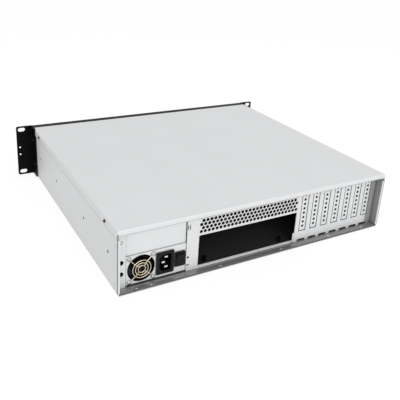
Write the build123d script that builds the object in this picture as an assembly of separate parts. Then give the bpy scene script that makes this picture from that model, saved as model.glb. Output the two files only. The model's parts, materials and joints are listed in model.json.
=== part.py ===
from build123d import *
from math import cos, radians, sin, sqrt
import os

os.makedirs("parts", exist_ok=True)

# Overall sizes in mm. X runs across the rack, Y from the front panel to the rear, Z up.
case_width = 430.0          # over the side lips of the cover
case_height = 88.0          # two rack units, less the gap between units
case_depth = 400.0          # front face of the rack ears to the rear edge
ear_reach = 26.3            # case side to the edge of the ear, which makes a 19 inch panel
sheet = 1.2                 # zinc coated steel of the body
bend = 1.0                  # inside radius of the folds
running_gap = 0.3           # between a moving piece and what carries it

# Rack ears
ear_sheet = 2.0
ear_flange = 25.0           # how far the ear runs back along the side wall
ear_slot_inset = 8.75       # from the outer edge of the ear
ear_slot_drop = 5.9         # from the top and from the bottom of the case
ear_slot_length = 12.0
ear_slot_width = 7.0
ear_small_hole = 3.4
ear_small_spacing = 12.7
ear_small_inset = 5.0       # from the outer edge of the ear
ear_corner = 3.0
ear_screw_spacing = 44.0
ear_screw_inset = 14.0      # from the front face

# Front panel
front_sheet = 1.2
front_flange = 15.0
front_slot_length = 68.0
front_slot_width = 5.0
front_slot_pitch = 10.0
front_slot_rows = 6

# Base tray
top_flange = 10.0
tray_side_hole = 4.2
tray_side_hole_drop = 0.5   # from the middle of the case
tray_side_hole_inset = 50.0       # from the front face
tray_side_hole_second = 145.0     # from the front face
tray_side_hole_third = 126.0      # from the rear edge
tray_side_hole_last = 34.0        # from the rear edge
tray_relief_z = 4.0         # height at which the wall is cut back for the rear hem

# Cover
cover_side_lip = 11.0
cover_rear_lip = 6.5
cover_screw_front = 50.0    # from the front face
cover_screw_rear = 41.0     # from the rear edge
cover_screw_drop = 6.0      # from the top of the cover to the screw

# Rear panel
recess = 12.0               # from the rear edge to the face of the panel
hem_length = 8.0            # the part of the side flange that wraps the wall
shelf_drop = 4.6            # from the underside of the cover to the slot shelf
shelf_edge = 1.5            # from the rear edge of the shelf to the cover lip
io_width = 158.75
io_height = 44.45
io_gap = 18.65              # from the power supply to the aperture
io_bottom = 5.4
io_corner = 1.0
vent_hole = 4.5             # across the flats of a hexagonal hole
vent_pitch = 5.9
vent_rows = 5
vent_rise = 5.4             # from the aperture to the first row of holes
strip_hole = 6.4
strip_hole_drop = 7.0       # below the top of the power supply
strip_hole_pitch = 15.9
tiny_hole = 1.6
tiny_spacing = 2.8
tiny_row_drop = 10.0        # from the top of the opening to the upper pair
strip_inset = 3.2           # from the opening to the middle of the strip beside it
clip_drop = 11.0            # from the top of the opening to the clip
clip_slit = 0.9
clip_width = 3.2
clip_height = 8.0
clip_hole = 3.2
clip_hole_drop = 2.0        # from the middle of the power supply
clip_slot_length = 4.2
clip_slot_rise = 7.0        # from the foot of the power supply

# Expansion slots
slot_count = 7
slot_pitch = 20.32
slot_opening = 12.8
slot_bottom = 17.9
slot_top_drop = 2.6         # from the shelf to the top of the opening
slot_1_offset = 13.2        # from the aperture to the middle of slot 1
slot_sheet = 0.9
slot_groove = 1.2           # round the raised middle of a cover
slot_pad_setback = 0.2      # from the panel face to the raised middle
slot_cover_width = 18.4
slot_shoulder = 14.0        # height at which the cover narrows to its tongue
slot_tongue_width = 10.2
slot_tongue_gap = 0.6       # from the notch in the panel up to the tongue
slot_hole = 4.0
slot_hole_pitch = 7.0
slot_hole_count = 8
slot_first_hole = 7.8       # from the bottom of the opening to the first hole
slot_screw_side = 7.0       # from the middle of the slot to its screw
slot_screw_inset = 5.0      # from the panel face to the screw
slot_screw_play = 0.5
slot_screw_length = 4.5
notch_width = 15.0
notch_height = 2.6

# Power supply
psu_width = 81.5
psu_height = 40.5
psu_depth = 150.0
psu_wall_gap = 13.35        # from the side wall to the power supply
psu_wall = 0.9
psu_clearance = 0.4
psu_vent_count = 9
psu_vent_pitch = 7.0
psu_vent_width = 3.0
psu_vent_height = 26.0
cradle_sheet = 1.2
cradle_rail = 9.0
cradle_margin = 4.0
cradle_length = 110.0
cradle_tab_start = 60.0
cradle_tab_length = 30.0
cradle_tab_height = 8.0
psu_fan_size = 38.4
psu_fan_depth = 20.0
psu_fan_duct = 36.4
psu_fan_pitch = 32.0
psu_fan_hub = 20.0
psu_fan_opening = 37.0
guard_wire = 1.2
guard_ring = 6.6            # radius of the inner ring
guard_ring_pitch = 5.6
guard_ring_count = 3
guard_stand = 1.6           # from the power supply to the rings
guard_eye_play = 0.4
guard_screw_length = 8.0
plate_lap = 1.5             # the top plate behind each side of the opening
plate_top_lap = 4.0
plate_shelf = 22.0
psu_opening_drop = 6.2      # from the shelf to the top of the opening

# Mains inlet and switch, both upright
inlet_from_left = 52.2
inlet_width = 24.4
inlet_height = 31.0
inlet_bezel = 1.8
inlet_corner = 1.6
inlet_body_width = 20.0
inlet_body_height = 27.0
inlet_depth = 19.0
inlet_recess_width = 16.4
inlet_recess_height = 23.8
inlet_recess_depth = 16.0
inlet_chamfer = 4.6
pin_width = 2.0
pin_height = 4.2
pin_length = 14.0
pin_spacing = 14.0
pin_offset = 2.0
pin_tail = 7.0
switch_from_left = 73.0
switch_width = 14.6
switch_height = 21.0
switch_bezel = 1.8
switch_corner = 1.4
switch_back = 1.5
switch_body_width = 12.6
switch_body_height = 18.8
switch_depth = 13.0
rocker_width = 9.6
rocker_radius = 7.9
rocker_face = 3.2           # from the pivot to the edges of the face
rocker_dip = 2.1            # from the pivot to the middle of the face
rocker_back = 4.2           # from the pivot to the rear of the rocker
rocker_tilt = 9.0
rocker_pin = 1.2
rocker_pin_reach = 0.9
pivot_stand = 0.2           # from the panel face to the pivot

# Fans behind the front panel
fan_headroom = 3.4          # from the fan to the underside of the cover
fan_depth = 25.0
fan_wall = 2.0              # between the duct and the side of the frame
fan_hole_inset = 4.25
fan_hub = 34.0
fan_side_gap = 82.6         # from the side wall to the first fan
fan_gap = 10.0              # between the fans
fan_hole = 4.3
fan_shaft = 3.0
fan_shaft_play = 0.05
fan_corner_ratio = 0.04     # of the frame size
fan_strut_ratio = 0.04      # of the frame size
fan_mount_ratio = 0.12      # of the frame depth
fan_bearing_ratio = 0.5     # of the frame depth
fan_hub_play = 0.4
fan_hub_wall = 1.2
fan_face_setback = 1.2
blade_count = 7
blade_pitch = 36.0
blade_camber = 0.1          # rise of the arc over the chord
blade_thickness = 1.0
blade_tip_play = 0.6
bracket_setback = 20.0      # from the front face to the fan bracket
bracket_margin = 6.0
bracket_flange = 37.0

# Motherboard standoffs, at the hole pattern of a full size board
standoff_height = 6.35
standoff_across = 5.5
standoff_hole = 2.5
standoff_hole_floor = 1.0
board_row_1 = 12.3          # from the rear panel to the first row of holes
board_row_2 = 154.94        # from the first row
board_row_3 = 227.33
board_side = 11.95          # from the side wall to the first column of holes
board_column_2 = 157.48     # from the first column
board_column_3 = 281.94

# Drive cage
drive_width = 101.8
cage_length = 130.0
cage_height = 58.0
cage_front = 22.0           # from the front face
cage_wall_gap = 2.0         # from the side wall to the cage
drive_hole = 3.4
drive_hole_z = 16.0         # lower row
drive_hole_rise = 28.0      # from the lower row to the upper
drive_hole_inset = 28.0     # from the front of the cage
drive_hole_pitch = 41.6
drive_hole_count = 3

# Front controls
control_inset = 26.6        # from the side wall to the middle of the controls
control_width = 48.0
control_height = 60.0
control_board_sheet = 1.6
control_gap = 12.0          # from the front panel to the board
power_button_size = 11.4
power_button_rise = 20.0    # from the middle of the case
reset_button_size = 5.4
reset_button_rise = 4.0
control_setback = 0.2       # from the front face to the controls
button_clearance = 0.15
button_edge = 0.4
button_flange = 1.4
button_flange_margin = 1.2
button_stem = 3.0
button_travel = 1.2
stem_entry = 1.8            # how far the stem sits in its switch
stem_reserve = 0.5          # left in the switch when the button is pressed
stud_diameter = 5.0
stud_inset = 4.0
stud_rise = 12.0
led_drop = 6.0              # from the middle of the case
led_size = 2.9
led_pitch = 8.0
usb_width = 5.7
usb_height = 13.1
usb_pitch = 12.0
usb_wall = 0.5
usb_floor = 3.0
usb_tongue = 1.8
usb_tongue_offset = 0.5     # from the middle of the mouth
usb_tongue_setback = 2.0
usb_drop = 21.0             # from the middle of the case
switch_block = 8.0
switch_block_depth = 6.0

# Fasteners
screw_head = 5.6
screw_head_height = 1.9
screw_shaft = 2.9
screw_end = 1.0             # how far a screw shows past the wall that it holds in
thread_play = 0.05
hole_play = 0.1             # around a screw in a piece that it passes through
small_screw_head = 4.6
small_screw_head_height = 1.6
cut_past = 1.0              # how far a cutting shape runs past a surface

# Places that follow from the sizes above
rack_width = case_width + 2 * ear_reach
front_y = -case_depth / 2
rear_y = case_depth / 2
mid_z = case_height / 2
wall_outer = case_width / 2 - sheet
wall_inner = wall_outer - sheet
floor_top = sheet
cover_under = case_height - sheet
lip_inner_y = rear_y - sheet
panel_face = rear_y - recess
panel_back = panel_face - sheet
shelf_top = cover_under - shelf_drop
shelf_end = rear_y - shelf_edge
front_back = front_y + front_sheet
tray_front = front_back + bend
hem_top = case_height - cover_side_lip - running_gap
psu_left = wall_inner - psu_wall_gap
psu_right = psu_left - psu_width
io_left = psu_right - io_gap
io_right = io_left - io_width
io_top = io_bottom + io_height
slot_places = [io_right - slot_1_offset - slot_pitch * i for i in range(slot_count)]
slot_top = shelf_top - slot_top_drop
slot_tongue_end = floor_top + sheet + notch_height + slot_tongue_gap
psu_opening_top = shelf_top - psu_opening_drop
psu_bottom = floor_top + 2 * cradle_sheet
psu_top = psu_bottom + psu_height
psu_mid_z = psu_bottom + psu_height / 2
psu_front = panel_face - psu_depth
fan_x = psu_left - psu_wall - psu_fan_size / 2
inlet_x = psu_left - inlet_from_left
switch_x = psu_left - switch_from_left
strip_left_x = (psu_left + wall_inner - sheet) / 2
strip_right_x = psu_right - psu_clearance - strip_inset
bracket_y = front_y + bracket_setback
fan_size = cover_under - floor_top - sheet - bend - fan_headroom
fan_duct = fan_size - 2 * fan_wall
fan_pitch = fan_size - 2 * fan_hole_inset
fan_z = floor_top + sheet + bend + fan_size / 2
fan_left_x = fan_side_gap + fan_size / 2 - wall_inner
fan_right_x = fan_left_x + fan_size + fan_gap
fan_places = (fan_left_x, fan_right_x)
control_x = control_inset - wall_inner
power_button_z = mid_z + power_button_rise
reset_button_z = mid_z + reset_button_rise
led_places = [control_x + i * led_pitch for i in (-1, 0, 1)]
led_z = mid_z - led_drop
usb_places = [control_x + i * usb_pitch for i in (-0.5, 0.5)]
usb_z = mid_z - usb_drop
board_y = front_back + control_gap
board_back = board_y + control_board_sheet
switch_y = board_y - switch_block_depth
guard_rings = [guard_ring + i * guard_ring_pitch for i in range(guard_ring_count)]
inlet_floor_y = panel_face + inlet_bezel - inlet_recess_depth
pivot_y = panel_face + pivot_stand
tray_side_hole_places = (
    front_y + tray_side_hole_inset,
    front_y + tray_side_hole_second,
    rear_y - tray_side_hole_third,
    rear_y - tray_side_hole_last,
)
cover_screw_places = (front_y + cover_screw_front, rear_y - cover_screw_rear)
ear_screw_y = front_y + ear_screw_inset
ear_screw_heights = (mid_z - ear_screw_spacing / 2, mid_z + ear_screw_spacing / 2)
cover_screw_z = case_height - cover_screw_drop


def block(x0, x1, y0, y1, z0, z1):
    """Box between two corners."""
    size = Box(x1 - x0, y1 - y0, z1 - z0)
    return Pos((x0 + x1) / 2, (y0 + y1) / 2, (z0 + z1) / 2) * size


def rod_x(y, z, x0, x1, diameter):
    """Round bar along X."""
    return Pos((x0 + x1) / 2, y, z) * Rot(0, 90, 0) * Cylinder(diameter / 2, abs(x1 - x0))


def rod_y(x, z, y0, y1, diameter):
    """Round bar along Y."""
    return Pos(x, (y0 + y1) / 2, z) * Rot(90, 0, 0) * Cylinder(diameter / 2, abs(y1 - y0))


def rod_z(x, y, z0, z1, diameter):
    """Round bar along Z."""
    return Pos(x, y, (z0 + z1) / 2) * Cylinder(diameter / 2, abs(z1 - z0))


def facing_rear(x, y, z):
    """Plane whose normal points to the rear, with its own Y axis pointing down."""
    return Plane(origin=(x, y, z), x_dir=(1, 0, 0), z_dir=(0, 1, 0))


def across(sketch, y0, y1):
    """Solid with an XZ outline, between two places along Y."""
    plane = Plane(origin=(0, y1, 0), x_dir=(1, 0, 0), z_dir=(0, -1, 0))
    return extrude(plane * sketch, y1 - y0)


def along_x(sketch, x0, x1):
    """Solid with a YZ outline, between two places along X."""
    plane = Plane(origin=(x0, 0, 0), x_dir=(0, 1, 0), z_dir=(1, 0, 0))
    return extrude(plane * sketch, x1 - x0)


def folded(points, thickness):
    """Section of a folded sheet, given by the middle of the sheet."""
    line = FilletPolyline(*points, radius=bend + thickness / 2)
    return trace(line, thickness)


def slot_cut(x, z, length, width, y0, y1):
    """Round ended slot along X, cut through along Y."""
    return across(Pos(x, z) * SlotOverall(length, width), y0, y1)


def base_tray():
    """Floor and side walls, folded from one sheet, with flanges that carry the cover."""
    outside = Pos(0, cover_under / 2) * RectangleRounded(2 * wall_outer, cover_under, bend + sheet)
    inside_height = cover_under - 2 * sheet
    inside = Pos(0, cover_under / 2) * RectangleRounded(2 * wall_inner, inside_height, bend)
    mouth = Pos(0, cover_under) * Rectangle(2 * (wall_inner - top_flange), 4 * sheet)
    tray = across(outside - inside - mouth, tray_front, rear_y)
    for side in (-1, 1):
        edge = side * (wall_outer - top_flange - 2 * sheet)
        wall = side * (wall_outer + sheet)
        x0, x1 = sorted((edge, wall))
        tray -= block(x0, x1, lip_inner_y, rear_y + cut_past, tray_relief_z, case_height)
        shelf_side = side * (wall_inner - sheet - running_gap)
        x0, x1 = sorted((edge, shelf_side))
        tray -= block(x0, x1, panel_back - 2 * sheet, rear_y, shelf_top - sheet, case_height)
        outer = side * (wall_outer + cut_past)
        inner = side * (wall_inner - cut_past)
        for y in tray_side_hole_places:
            tray -= rod_x(y, mid_z - tray_side_hole_drop, inner, outer, tray_side_hole)
        for y in cover_screw_places:
            tray -= rod_x(y, cover_screw_z, inner, outer, screw_shaft + 2 * thread_play)
        for z in ear_screw_heights:
            tray -= rod_x(ear_screw_y, z, inner, outer, screw_shaft + 2 * thread_play)
    return tray


def top_cover():
    """Flat lid with a lip down each side and along the rear edge."""
    cover_front = front_y + front_flange
    top = Pos(0, case_height / 2) * RectangleRounded(case_width, case_height, bend + sheet)
    hollow = Pos(0, cover_under / 2) * RectangleRounded(2 * wall_outer, cover_under, bend)
    lid = across(top - hollow, cover_front, rear_y)
    lid -= block(-case_width, case_width, front_y, rear_y + cut_past, 0, case_height - cover_side_lip)
    ear_end = front_y + ear_flange + running_gap
    for x0, x1 in ((-case_width, -wall_outer), (wall_outer, case_width)):
        lid -= block(x0, x1, front_y, ear_end, 0, case_height + cut_past)
    lip_bottom = case_height - cover_rear_lip
    lid += block(-wall_outer, wall_outer, lip_inner_y, rear_y, lip_bottom, cover_under)
    top_rear = lid.edges().filter_by(Axis.X).group_by(Axis.Y)[-1].sort_by(Axis.Z)[-1]
    lid = fillet(top_rear, bend)
    for side in (-1, 1):
        inner = side * (wall_outer - cut_past)
        outer = side * (wall_outer + sheet + cut_past)
        for y in cover_screw_places:
            lid -= rod_x(y, cover_screw_z, inner, outer, screw_shaft + 2 * hole_play)
    return lid


def side_flange(side):
    """Flange of the rear panel that runs back inside the wall and wraps its rear edge."""
    x0, x1 = sorted((side * (wall_inner - sheet), side * wall_inner))
    inside = block(x0, x1, panel_back, lip_inner_y, floor_top + bend, shelf_top)
    x0, x1 = sorted((side * (wall_inner - sheet), side * (case_width / 2)))
    turn = block(x0, x1, lip_inner_y, rear_y, tray_relief_z, hem_top)
    x0, x1 = sorted((side * wall_outer, side * (case_width / 2)))
    hem = block(x0, x1, rear_y - hem_length, lip_inner_y, tray_relief_z, hem_top)
    return inside + turn + hem


def vent_cuts():
    """Staggered field of hexagonal holes above the input and output aperture."""
    middle = (io_left + io_right) / 2
    long_row = int(io_width / vent_pitch) + 1
    hole = RegularPolygon(vent_hole / 2, 6, major_radius=False, rotation=30)
    field = Sketch()
    for row in range(vent_rows):
        count = long_row - row % 2
        z = io_top + vent_rise + row * vent_pitch * sin(radians(60))
        field += Pos(middle, z) * GridLocations(vent_pitch, 1, count, 1) * hole
    return across(field, panel_back - cut_past, panel_face + cut_past)


def rear_panel():
    """Recessed rear wall with its openings, slot shelf, foot and wrapped side flanges."""
    edge = wall_inner - sheet
    wall_y = (panel_back + panel_face) / 2
    foot_z, shelf_z = floor_top + sheet / 2, shelf_top - sheet / 2
    points = [(lip_inner_y, foot_z), (wall_y, foot_z), (wall_y, shelf_z), (shelf_end, shelf_z)]
    section = folded(points, sheet)
    panel = along_x(section, -edge, edge) + side_flange(1) + side_flange(-1)
    low, high = panel_back - cut_past, panel_face + cut_past
    opening = (psu_right - psu_clearance, psu_left + psu_clearance)
    panel -= block(*opening, low, high, psu_bottom - psu_clearance, psu_opening_top)
    aperture = Pos((io_left + io_right) / 2, (io_bottom + io_top) / 2)
    panel -= across(aperture * RectangleRounded(io_width, io_height, io_corner), low, high)
    panel -= vent_cuts()
    screw_y = panel_face + slot_screw_inset
    for x in slot_places:
        panel -= block(x - slot_opening / 2, x + slot_opening / 2, low, high, slot_bottom, slot_top)
        notch = Pos(x, floor_top + sheet) * SlotOverall(notch_width, 2 * notch_height)
        above_foot = Pos(x, floor_top + sheet + notch_height) * Rectangle(notch_width, 2 * notch_height)
        panel -= across(notch & above_foot, low, high)
        screw_x = x + slot_screw_side
        hole = screw_shaft + 2 * thread_play
        panel -= rod_z(screw_x, screw_y, shelf_top - 2 * sheet, shelf_top + cut_past, hole)
    for drop in (strip_hole_drop, strip_hole_drop + strip_hole_pitch):
        panel -= rod_y(strip_left_x, psu_top - drop, low, high, strip_hole)
    for across_x, drop in ((-0.5, 0.0), (0.5, 0.0), (0.0, 1.0)):
        x = strip_left_x + across_x * tiny_spacing
        z = psu_opening_top - tiny_row_drop - drop * tiny_spacing
        panel -= rod_y(x, z, low, high, tiny_hole)
    return panel - clip_cuts(low, high)


def clip_cuts(low, high):
    """H shaped lance and two small holes in the strip beside the power supply."""
    z = psu_opening_top - clip_drop
    clip = Rectangle(clip_width, clip_slit)
    for side in (-1, 1):
        clip += Pos(side * clip_width / 2, 0) * Rectangle(clip_slit, clip_height)
    cuts = across(Pos(strip_right_x, z) * clip, low, high)
    cuts += rod_y(strip_right_x, psu_mid_z - clip_hole_drop, low, high, clip_hole)
    slot_z = psu_bottom + clip_slot_rise
    return cuts + slot_cut(strip_right_x, slot_z, clip_slot_length, tiny_hole, low, high)


def slot_cover(x):
    """Blank for one expansion slot: raised perforated middle, tongue and screwed tab."""
    back = panel_back - slot_sheet
    half = slot_cover_width / 2
    tab_top = shelf_top + slot_sheet
    blank_y, tab_z = panel_back - slot_sheet / 2, shelf_top + slot_sheet / 2
    section = folded([(blank_y, slot_shoulder), (blank_y, tab_z), (shelf_end - sheet, tab_z)], slot_sheet)
    tongue = slot_tongue_width / 2
    blank = along_x(section, x - half, x + half)
    blank += block(x - tongue, x + tongue, back, panel_back, slot_tongue_end, slot_shoulder)
    pad_face = panel_face - slot_pad_setback
    pad_width = slot_opening - 2 * slot_groove
    pad_height = slot_top - slot_bottom - 2 * slot_groove
    pad = Pos(x, (slot_top + slot_bottom) / 2) * Rectangle(pad_width, pad_height)
    blank += across(pad, back, pad_face)
    blank -= across(offset(pad, -slot_sheet), back - cut_past, pad_face - slot_sheet)
    first = slot_bottom + slot_first_hole
    for i in range(slot_hole_count):
        z = first + i * slot_hole_pitch
        blank -= rod_y(x, z, back - cut_past, pad_face + cut_past, slot_hole)
    screw_x = x + slot_screw_side
    screw_y = panel_face + slot_screw_inset
    gap = screw_shaft + slot_screw_play
    low, high = shelf_top - cut_past, tab_top + cut_past
    blank -= rod_z(screw_x, screw_y, low, high, gap)
    mouth = block(screw_x, x + half + cut_past, screw_y - gap / 2, screw_y + gap / 2, low, high)
    return blank - mouth


def pan_screw(length, head=screw_head, head_height=screw_head_height):
    """Screw standing on the origin, head up, shaft down."""
    return rod_z(0, 0, 0, head_height, head) + rod_z(0, 0, -length, 0, screw_shaft)


def slot_screws():
    y = panel_face + slot_screw_inset
    top = shelf_top + slot_sheet
    screw = pan_screw(slot_screw_length)
    return Compound([Pos(x + slot_screw_side, y, top) * screw for x in slot_places])


def side_screws(places, face, length):
    """Screws through both side walls, heads outwards."""
    screw = pan_screw(length)
    found = []
    for side in (-1, 1):
        for y, z in places:
            found.append(Pos(side * face, y, z) * Rot(0, side * 90, 0) * screw)
    return Compound(found)


def cover_screws():
    places = [(y, cover_screw_z) for y in cover_screw_places]
    return side_screws(places, case_width / 2, 2 * sheet + screw_end)


def ear_screws():
    places = [(ear_screw_y, z) for z in ear_screw_heights]
    return side_screws(places, wall_outer + ear_sheet, ear_sheet + sheet + screw_end)


def ear(side):
    """Rack ear, an angle with two rack slots and a flange screwed to the side wall."""
    rim = side * rack_width / 2
    outer = side * (wall_outer + ear_sheet)
    flange_x, plate_y = side * (wall_outer + ear_sheet / 2), front_y + ear_sheet / 2
    section = folded([(rim, plate_y), (flange_x, plate_y), (flange_x, front_y + ear_flange)], ear_sheet)
    angle = extrude(section, case_height)
    corners = angle.edges().filter_by(Axis.Y).sort_by(Axis.X)
    angle = fillet(corners[-2:] if side > 0 else corners[:2], ear_corner)
    rear_corners = angle.edges().filter_by(Axis.X).sort_by(Axis.Y)[-2:]
    angle = chamfer(rear_corners, ear_corner)
    low, high = front_y - cut_past, front_y + ear_sheet + cut_past
    slot_x = rim - side * ear_slot_inset
    for z in (ear_slot_drop, case_height - ear_slot_drop):
        angle -= slot_cut(slot_x, z, ear_slot_length, ear_slot_width, low, high)
    for z in (mid_z - ear_small_spacing / 2, mid_z + ear_small_spacing / 2):
        angle -= rod_y(rim - side * ear_small_inset, z, low, high, ear_small_hole)
    for z in ear_screw_heights:
        inner = side * (wall_outer - cut_past)
        angle -= rod_x(ear_screw_y, z, inner, outer + side * cut_past, screw_shaft + 2 * hole_play)
    return angle


def front_panel():
    """Black front plate with folded top and bottom edges, vents and control holes."""
    end, plate_y = front_y + front_flange, front_y + front_sheet / 2
    foot_z, top_z = floor_top + front_sheet / 2, case_height - front_sheet / 2
    section = folded([(end, foot_z), (plate_y, foot_z), (plate_y, top_z), (end, top_z)], front_sheet)
    panel = along_x(section, -wall_outer, wall_outer)
    for x0, x1 in ((-case_width, bend - wall_inner), (wall_inner - bend, case_width)):
        panel -= block(x0, x1, front_back, end + cut_past, 0, mid_z)
    low, high = front_y - cut_past, front_back + cut_past
    cage_mid = wall_inner - cage_wall_gap - sheet - drive_width / 2
    span = (front_slot_rows - 1) * front_slot_pitch
    for x in (*fan_places, cage_mid):
        for row in range(front_slot_rows):
            z = mid_z - span / 2 + row * front_slot_pitch
            panel -= slot_cut(x, z, front_slot_length, front_slot_width, low, high)
    play = 2 * button_clearance
    panel -= rod_y(control_x, power_button_z, low, high, power_button_size + play)
    panel -= rod_y(control_x, reset_button_z, low, high, reset_button_size + play)
    for x in led_places:
        panel -= rod_y(x, led_z, low, high, led_size + play)
    for x in usb_places:
        panel -= across(Pos(x, usb_z) * Rectangle(usb_width + play, usb_height + play), low, high)
    return panel


def control_board():
    """Small circuit board behind the front panel, with the two push switches on it."""
    x0, x1 = control_x - control_width / 2, control_x + control_width / 2
    z0, z1 = mid_z - control_height / 2, mid_z + control_height / 2
    board = block(x0, x1, board_y, board_back, z0, z1)
    bore = button_stem + 2 * button_clearance
    bore_end = switch_y + stem_entry + button_travel + stem_reserve
    for z in (power_button_z, reset_button_z):
        board += across(Pos(control_x, z) * Rectangle(switch_block, switch_block), switch_y, board_y)
        board -= rod_y(control_x, z, switch_y - cut_past, bore_end, bore)
    return board


def control_studs():
    """Pillars between the front panel and the circuit board."""
    found = []
    for side in (-1, 1):
        x = control_x + side * (control_width / 2 - stud_inset)
        found.append(rod_y(x, mid_z + stud_rise, front_back, board_y, stud_diameter))
    return Compound(found)


def push_button(z, size):
    """Cap in the front panel, with a retaining flange and a stem into its switch."""
    flange_start = front_back + running_gap
    flange_end = flange_start + button_flange
    cap = rod_y(control_x, z, front_y + control_setback, flange_start, size)
    flange = rod_y(control_x, z, flange_start, flange_end, size + 2 * button_flange_margin)
    stem = rod_y(control_x, z, flange_end, switch_y + stem_entry, button_stem)
    rim = cap.edges().sort_by(Axis.Y)[0]
    return chamfer(rim, button_edge) + flange + stem


def led_lenses():
    start = front_y + control_setback
    return Compound([rod_y(x, led_z, start, board_y, led_size) for x in led_places])


def usb_sockets():
    """Two upright data sockets, each a thin metal shell with a tongue."""
    found = []
    mouth = Rectangle(usb_width - 2 * usb_wall, usb_height - 2 * usb_wall)
    tongue = Rectangle(usb_tongue, usb_height - 4 * usb_wall)
    floor = board_y - usb_floor
    for x in usb_places:
        place = Pos(x, usb_z)
        start = front_y + control_setback
        shell = across(place * Rectangle(usb_width, usb_height), start, board_y)
        shell -= across(place * mouth, front_y, floor)
        tongue_place = Pos(x + usb_tongue_offset, usb_z)
        found.append(shell + across(tongue_place * tongue, start + usb_tongue_setback, floor))
    return Compound(found)


def fan_frame(size, depth, duct, pitch, hole, hub):
    """Square fan frame, with the motor mount on struts at its outlet, axis along Z."""
    frame = Box(size, size, depth)
    frame = fillet(frame.edges().filter_by(Axis.Z), size * fan_corner_ratio)
    frame -= Cylinder(duct / 2, depth)
    for place in GridLocations(pitch, pitch, 2, 2):
        frame -= place * Cylinder(hole / 2, depth)
    top = depth / 2
    mount_bottom = top - depth * fan_mount_ratio
    bearing_bottom = mount_bottom - depth * fan_bearing_ratio
    frame += rod_z(0, 0, mount_bottom, top, hub)
    width = size * fan_strut_ratio
    for angle in (45, 135):
        strut = block(-duct / 2 - hole_play, duct / 2 + hole_play, -width / 2, width / 2, mount_bottom, top)
        frame += Rot(0, 0, angle) * strut
    frame += rod_z(0, 0, bearing_bottom, mount_bottom, 2 * fan_shaft)
    return frame - rod_z(0, 0, bearing_bottom, mount_bottom, fan_shaft + 2 * fan_shaft_play)


def fan_blade(hub_r, tip_r, chord):
    """One cambered blade, set at its pitch, from inside the hub to past the tip."""
    rise = chord * blade_camber
    inner = ThreePointArc((-chord / 2, 0), (0, rise), (chord / 2, 0))
    outer = Pos(0, blade_thickness) * inner
    ends = [Line(inner @ 0, outer @ 0), Line(inner @ 1, outer @ 1)]
    profile = make_face([inner.edge(), outer.edge(), *[end.edge() for end in ends]])
    tilt = radians(blade_pitch)
    root = Plane(origin=(hub_r, 0, 0), x_dir=(0, cos(tilt), sin(tilt)), z_dir=(1, 0, 0))
    return extrude(root * profile, tip_r - hub_r)


def fan_rotor(depth, duct, hub):
    """Hub cup on its shaft with blades, axis along Z, air leaving towards +Z."""
    top = depth / 2 - depth * fan_mount_ratio - running_gap
    bottom = fan_face_setback - depth / 2
    middle = (top + bottom) / 2
    hub_r = hub / 2 - fan_hub_play
    tip_r = duct / 2 - blade_tip_play
    cup = rod_z(0, 0, bottom, top, 2 * hub_r)
    cup = chamfer(cup.edges().filter_by(GeomType.CIRCLE).sort_by(Axis.Z)[0], fan_hub_wall / 2)
    cup -= rod_z(0, 0, bottom + fan_hub_wall, top, 2 * (hub_r - fan_hub_wall))
    rotor = cup + rod_z(0, 0, bottom, top, fan_shaft)
    chord = (top - bottom - 2 * blade_thickness) / sin(radians(blade_pitch))
    swept = Cylinder(tip_r, depth) - Cylinder(hub_r - fan_hub_wall / 2, depth)
    blade = (Pos(0, 0, middle) * fan_blade(hub_r - fan_hub_wall, duct / 2, chord)) & swept
    for i in range(blade_count):
        rotor += Rot(0, 0, 360 / blade_count * i) * blade
    return rotor


def facing(shape, x, y, z):
    """Put a piece made about Z so that its outlet faces the rear."""
    return facing_rear(x, y, z).location * shape


def case_fan(x):
    frame = fan_frame(fan_size, fan_depth, fan_duct, fan_pitch, fan_hole, fan_hub)
    rotor = fan_rotor(fan_depth, fan_duct, fan_hub)
    y = bracket_y + sheet + fan_depth / 2
    return facing(frame, x, y, fan_z), facing(rotor, x, y, fan_z)


def fan_bracket():
    """Upright plate with a hole for each fan and a folded foot."""
    x0 = fan_left_x - fan_size / 2 - bracket_margin
    x1 = fan_right_x + fan_size / 2 + bracket_margin
    top = cover_under - running_gap
    wall_y, foot_z = bracket_y + sheet / 2, floor_top + sheet / 2
    section = folded([(bracket_y + bracket_flange, foot_z), (wall_y, foot_z), (wall_y, top)], sheet)
    cuts = Sketch()
    for x in fan_places:
        cuts += Pos(x, fan_z) * Circle(fan_duct / 2)
        cuts += Pos(x, fan_z) * GridLocations(fan_pitch, fan_pitch, 2, 2) * Circle(fan_hole / 2)
    return along_x(section, x0, x1) - across(cuts, bracket_y - cut_past, bracket_y + sheet + cut_past)


def psu_housing():
    """Hollow sheet metal box with openings for the fan, inlet and switch."""
    z0, z1 = psu_bottom, psu_top
    box = block(psu_right, psu_left, psu_front, panel_face, z0, z1)
    w = psu_wall
    box -= block(psu_right + w, psu_left - w, psu_front + w, panel_face - w, z0 + w, z1 - w)
    low, high = panel_face - w - cut_past, panel_face + cut_past
    box -= rod_y(fan_x, psu_mid_z, low, high, psu_fan_opening)
    for x, z in fan_screw_places():
        box -= rod_y(x, z, low, high, screw_shaft + 2 * thread_play)
    play = 2 * thread_play
    inlet_hole = Pos(inlet_x, psu_mid_z) * Rectangle(inlet_body_width + play, inlet_body_height + play)
    switch_hole = Pos(switch_x, psu_mid_z) * Rectangle(switch_body_width + play, switch_body_height + play)
    box -= across(inlet_hole, low, high) + across(switch_hole, low, high)
    vent = Rectangle(psu_vent_width, psu_vent_height)
    middle = Pos((psu_left + psu_right) / 2, psu_mid_z)
    vents = Sketch() + middle * GridLocations(psu_vent_pitch, 1, psu_vent_count, 1) * vent
    return box - across(vents, psu_front - cut_past, psu_front + w + cut_past)


def fan_screw_places():
    half = psu_fan_pitch / 2
    return [(fan_x + i * half, psu_mid_z + j * half) for i in (-1, 1) for j in (-1, 1)]


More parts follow.
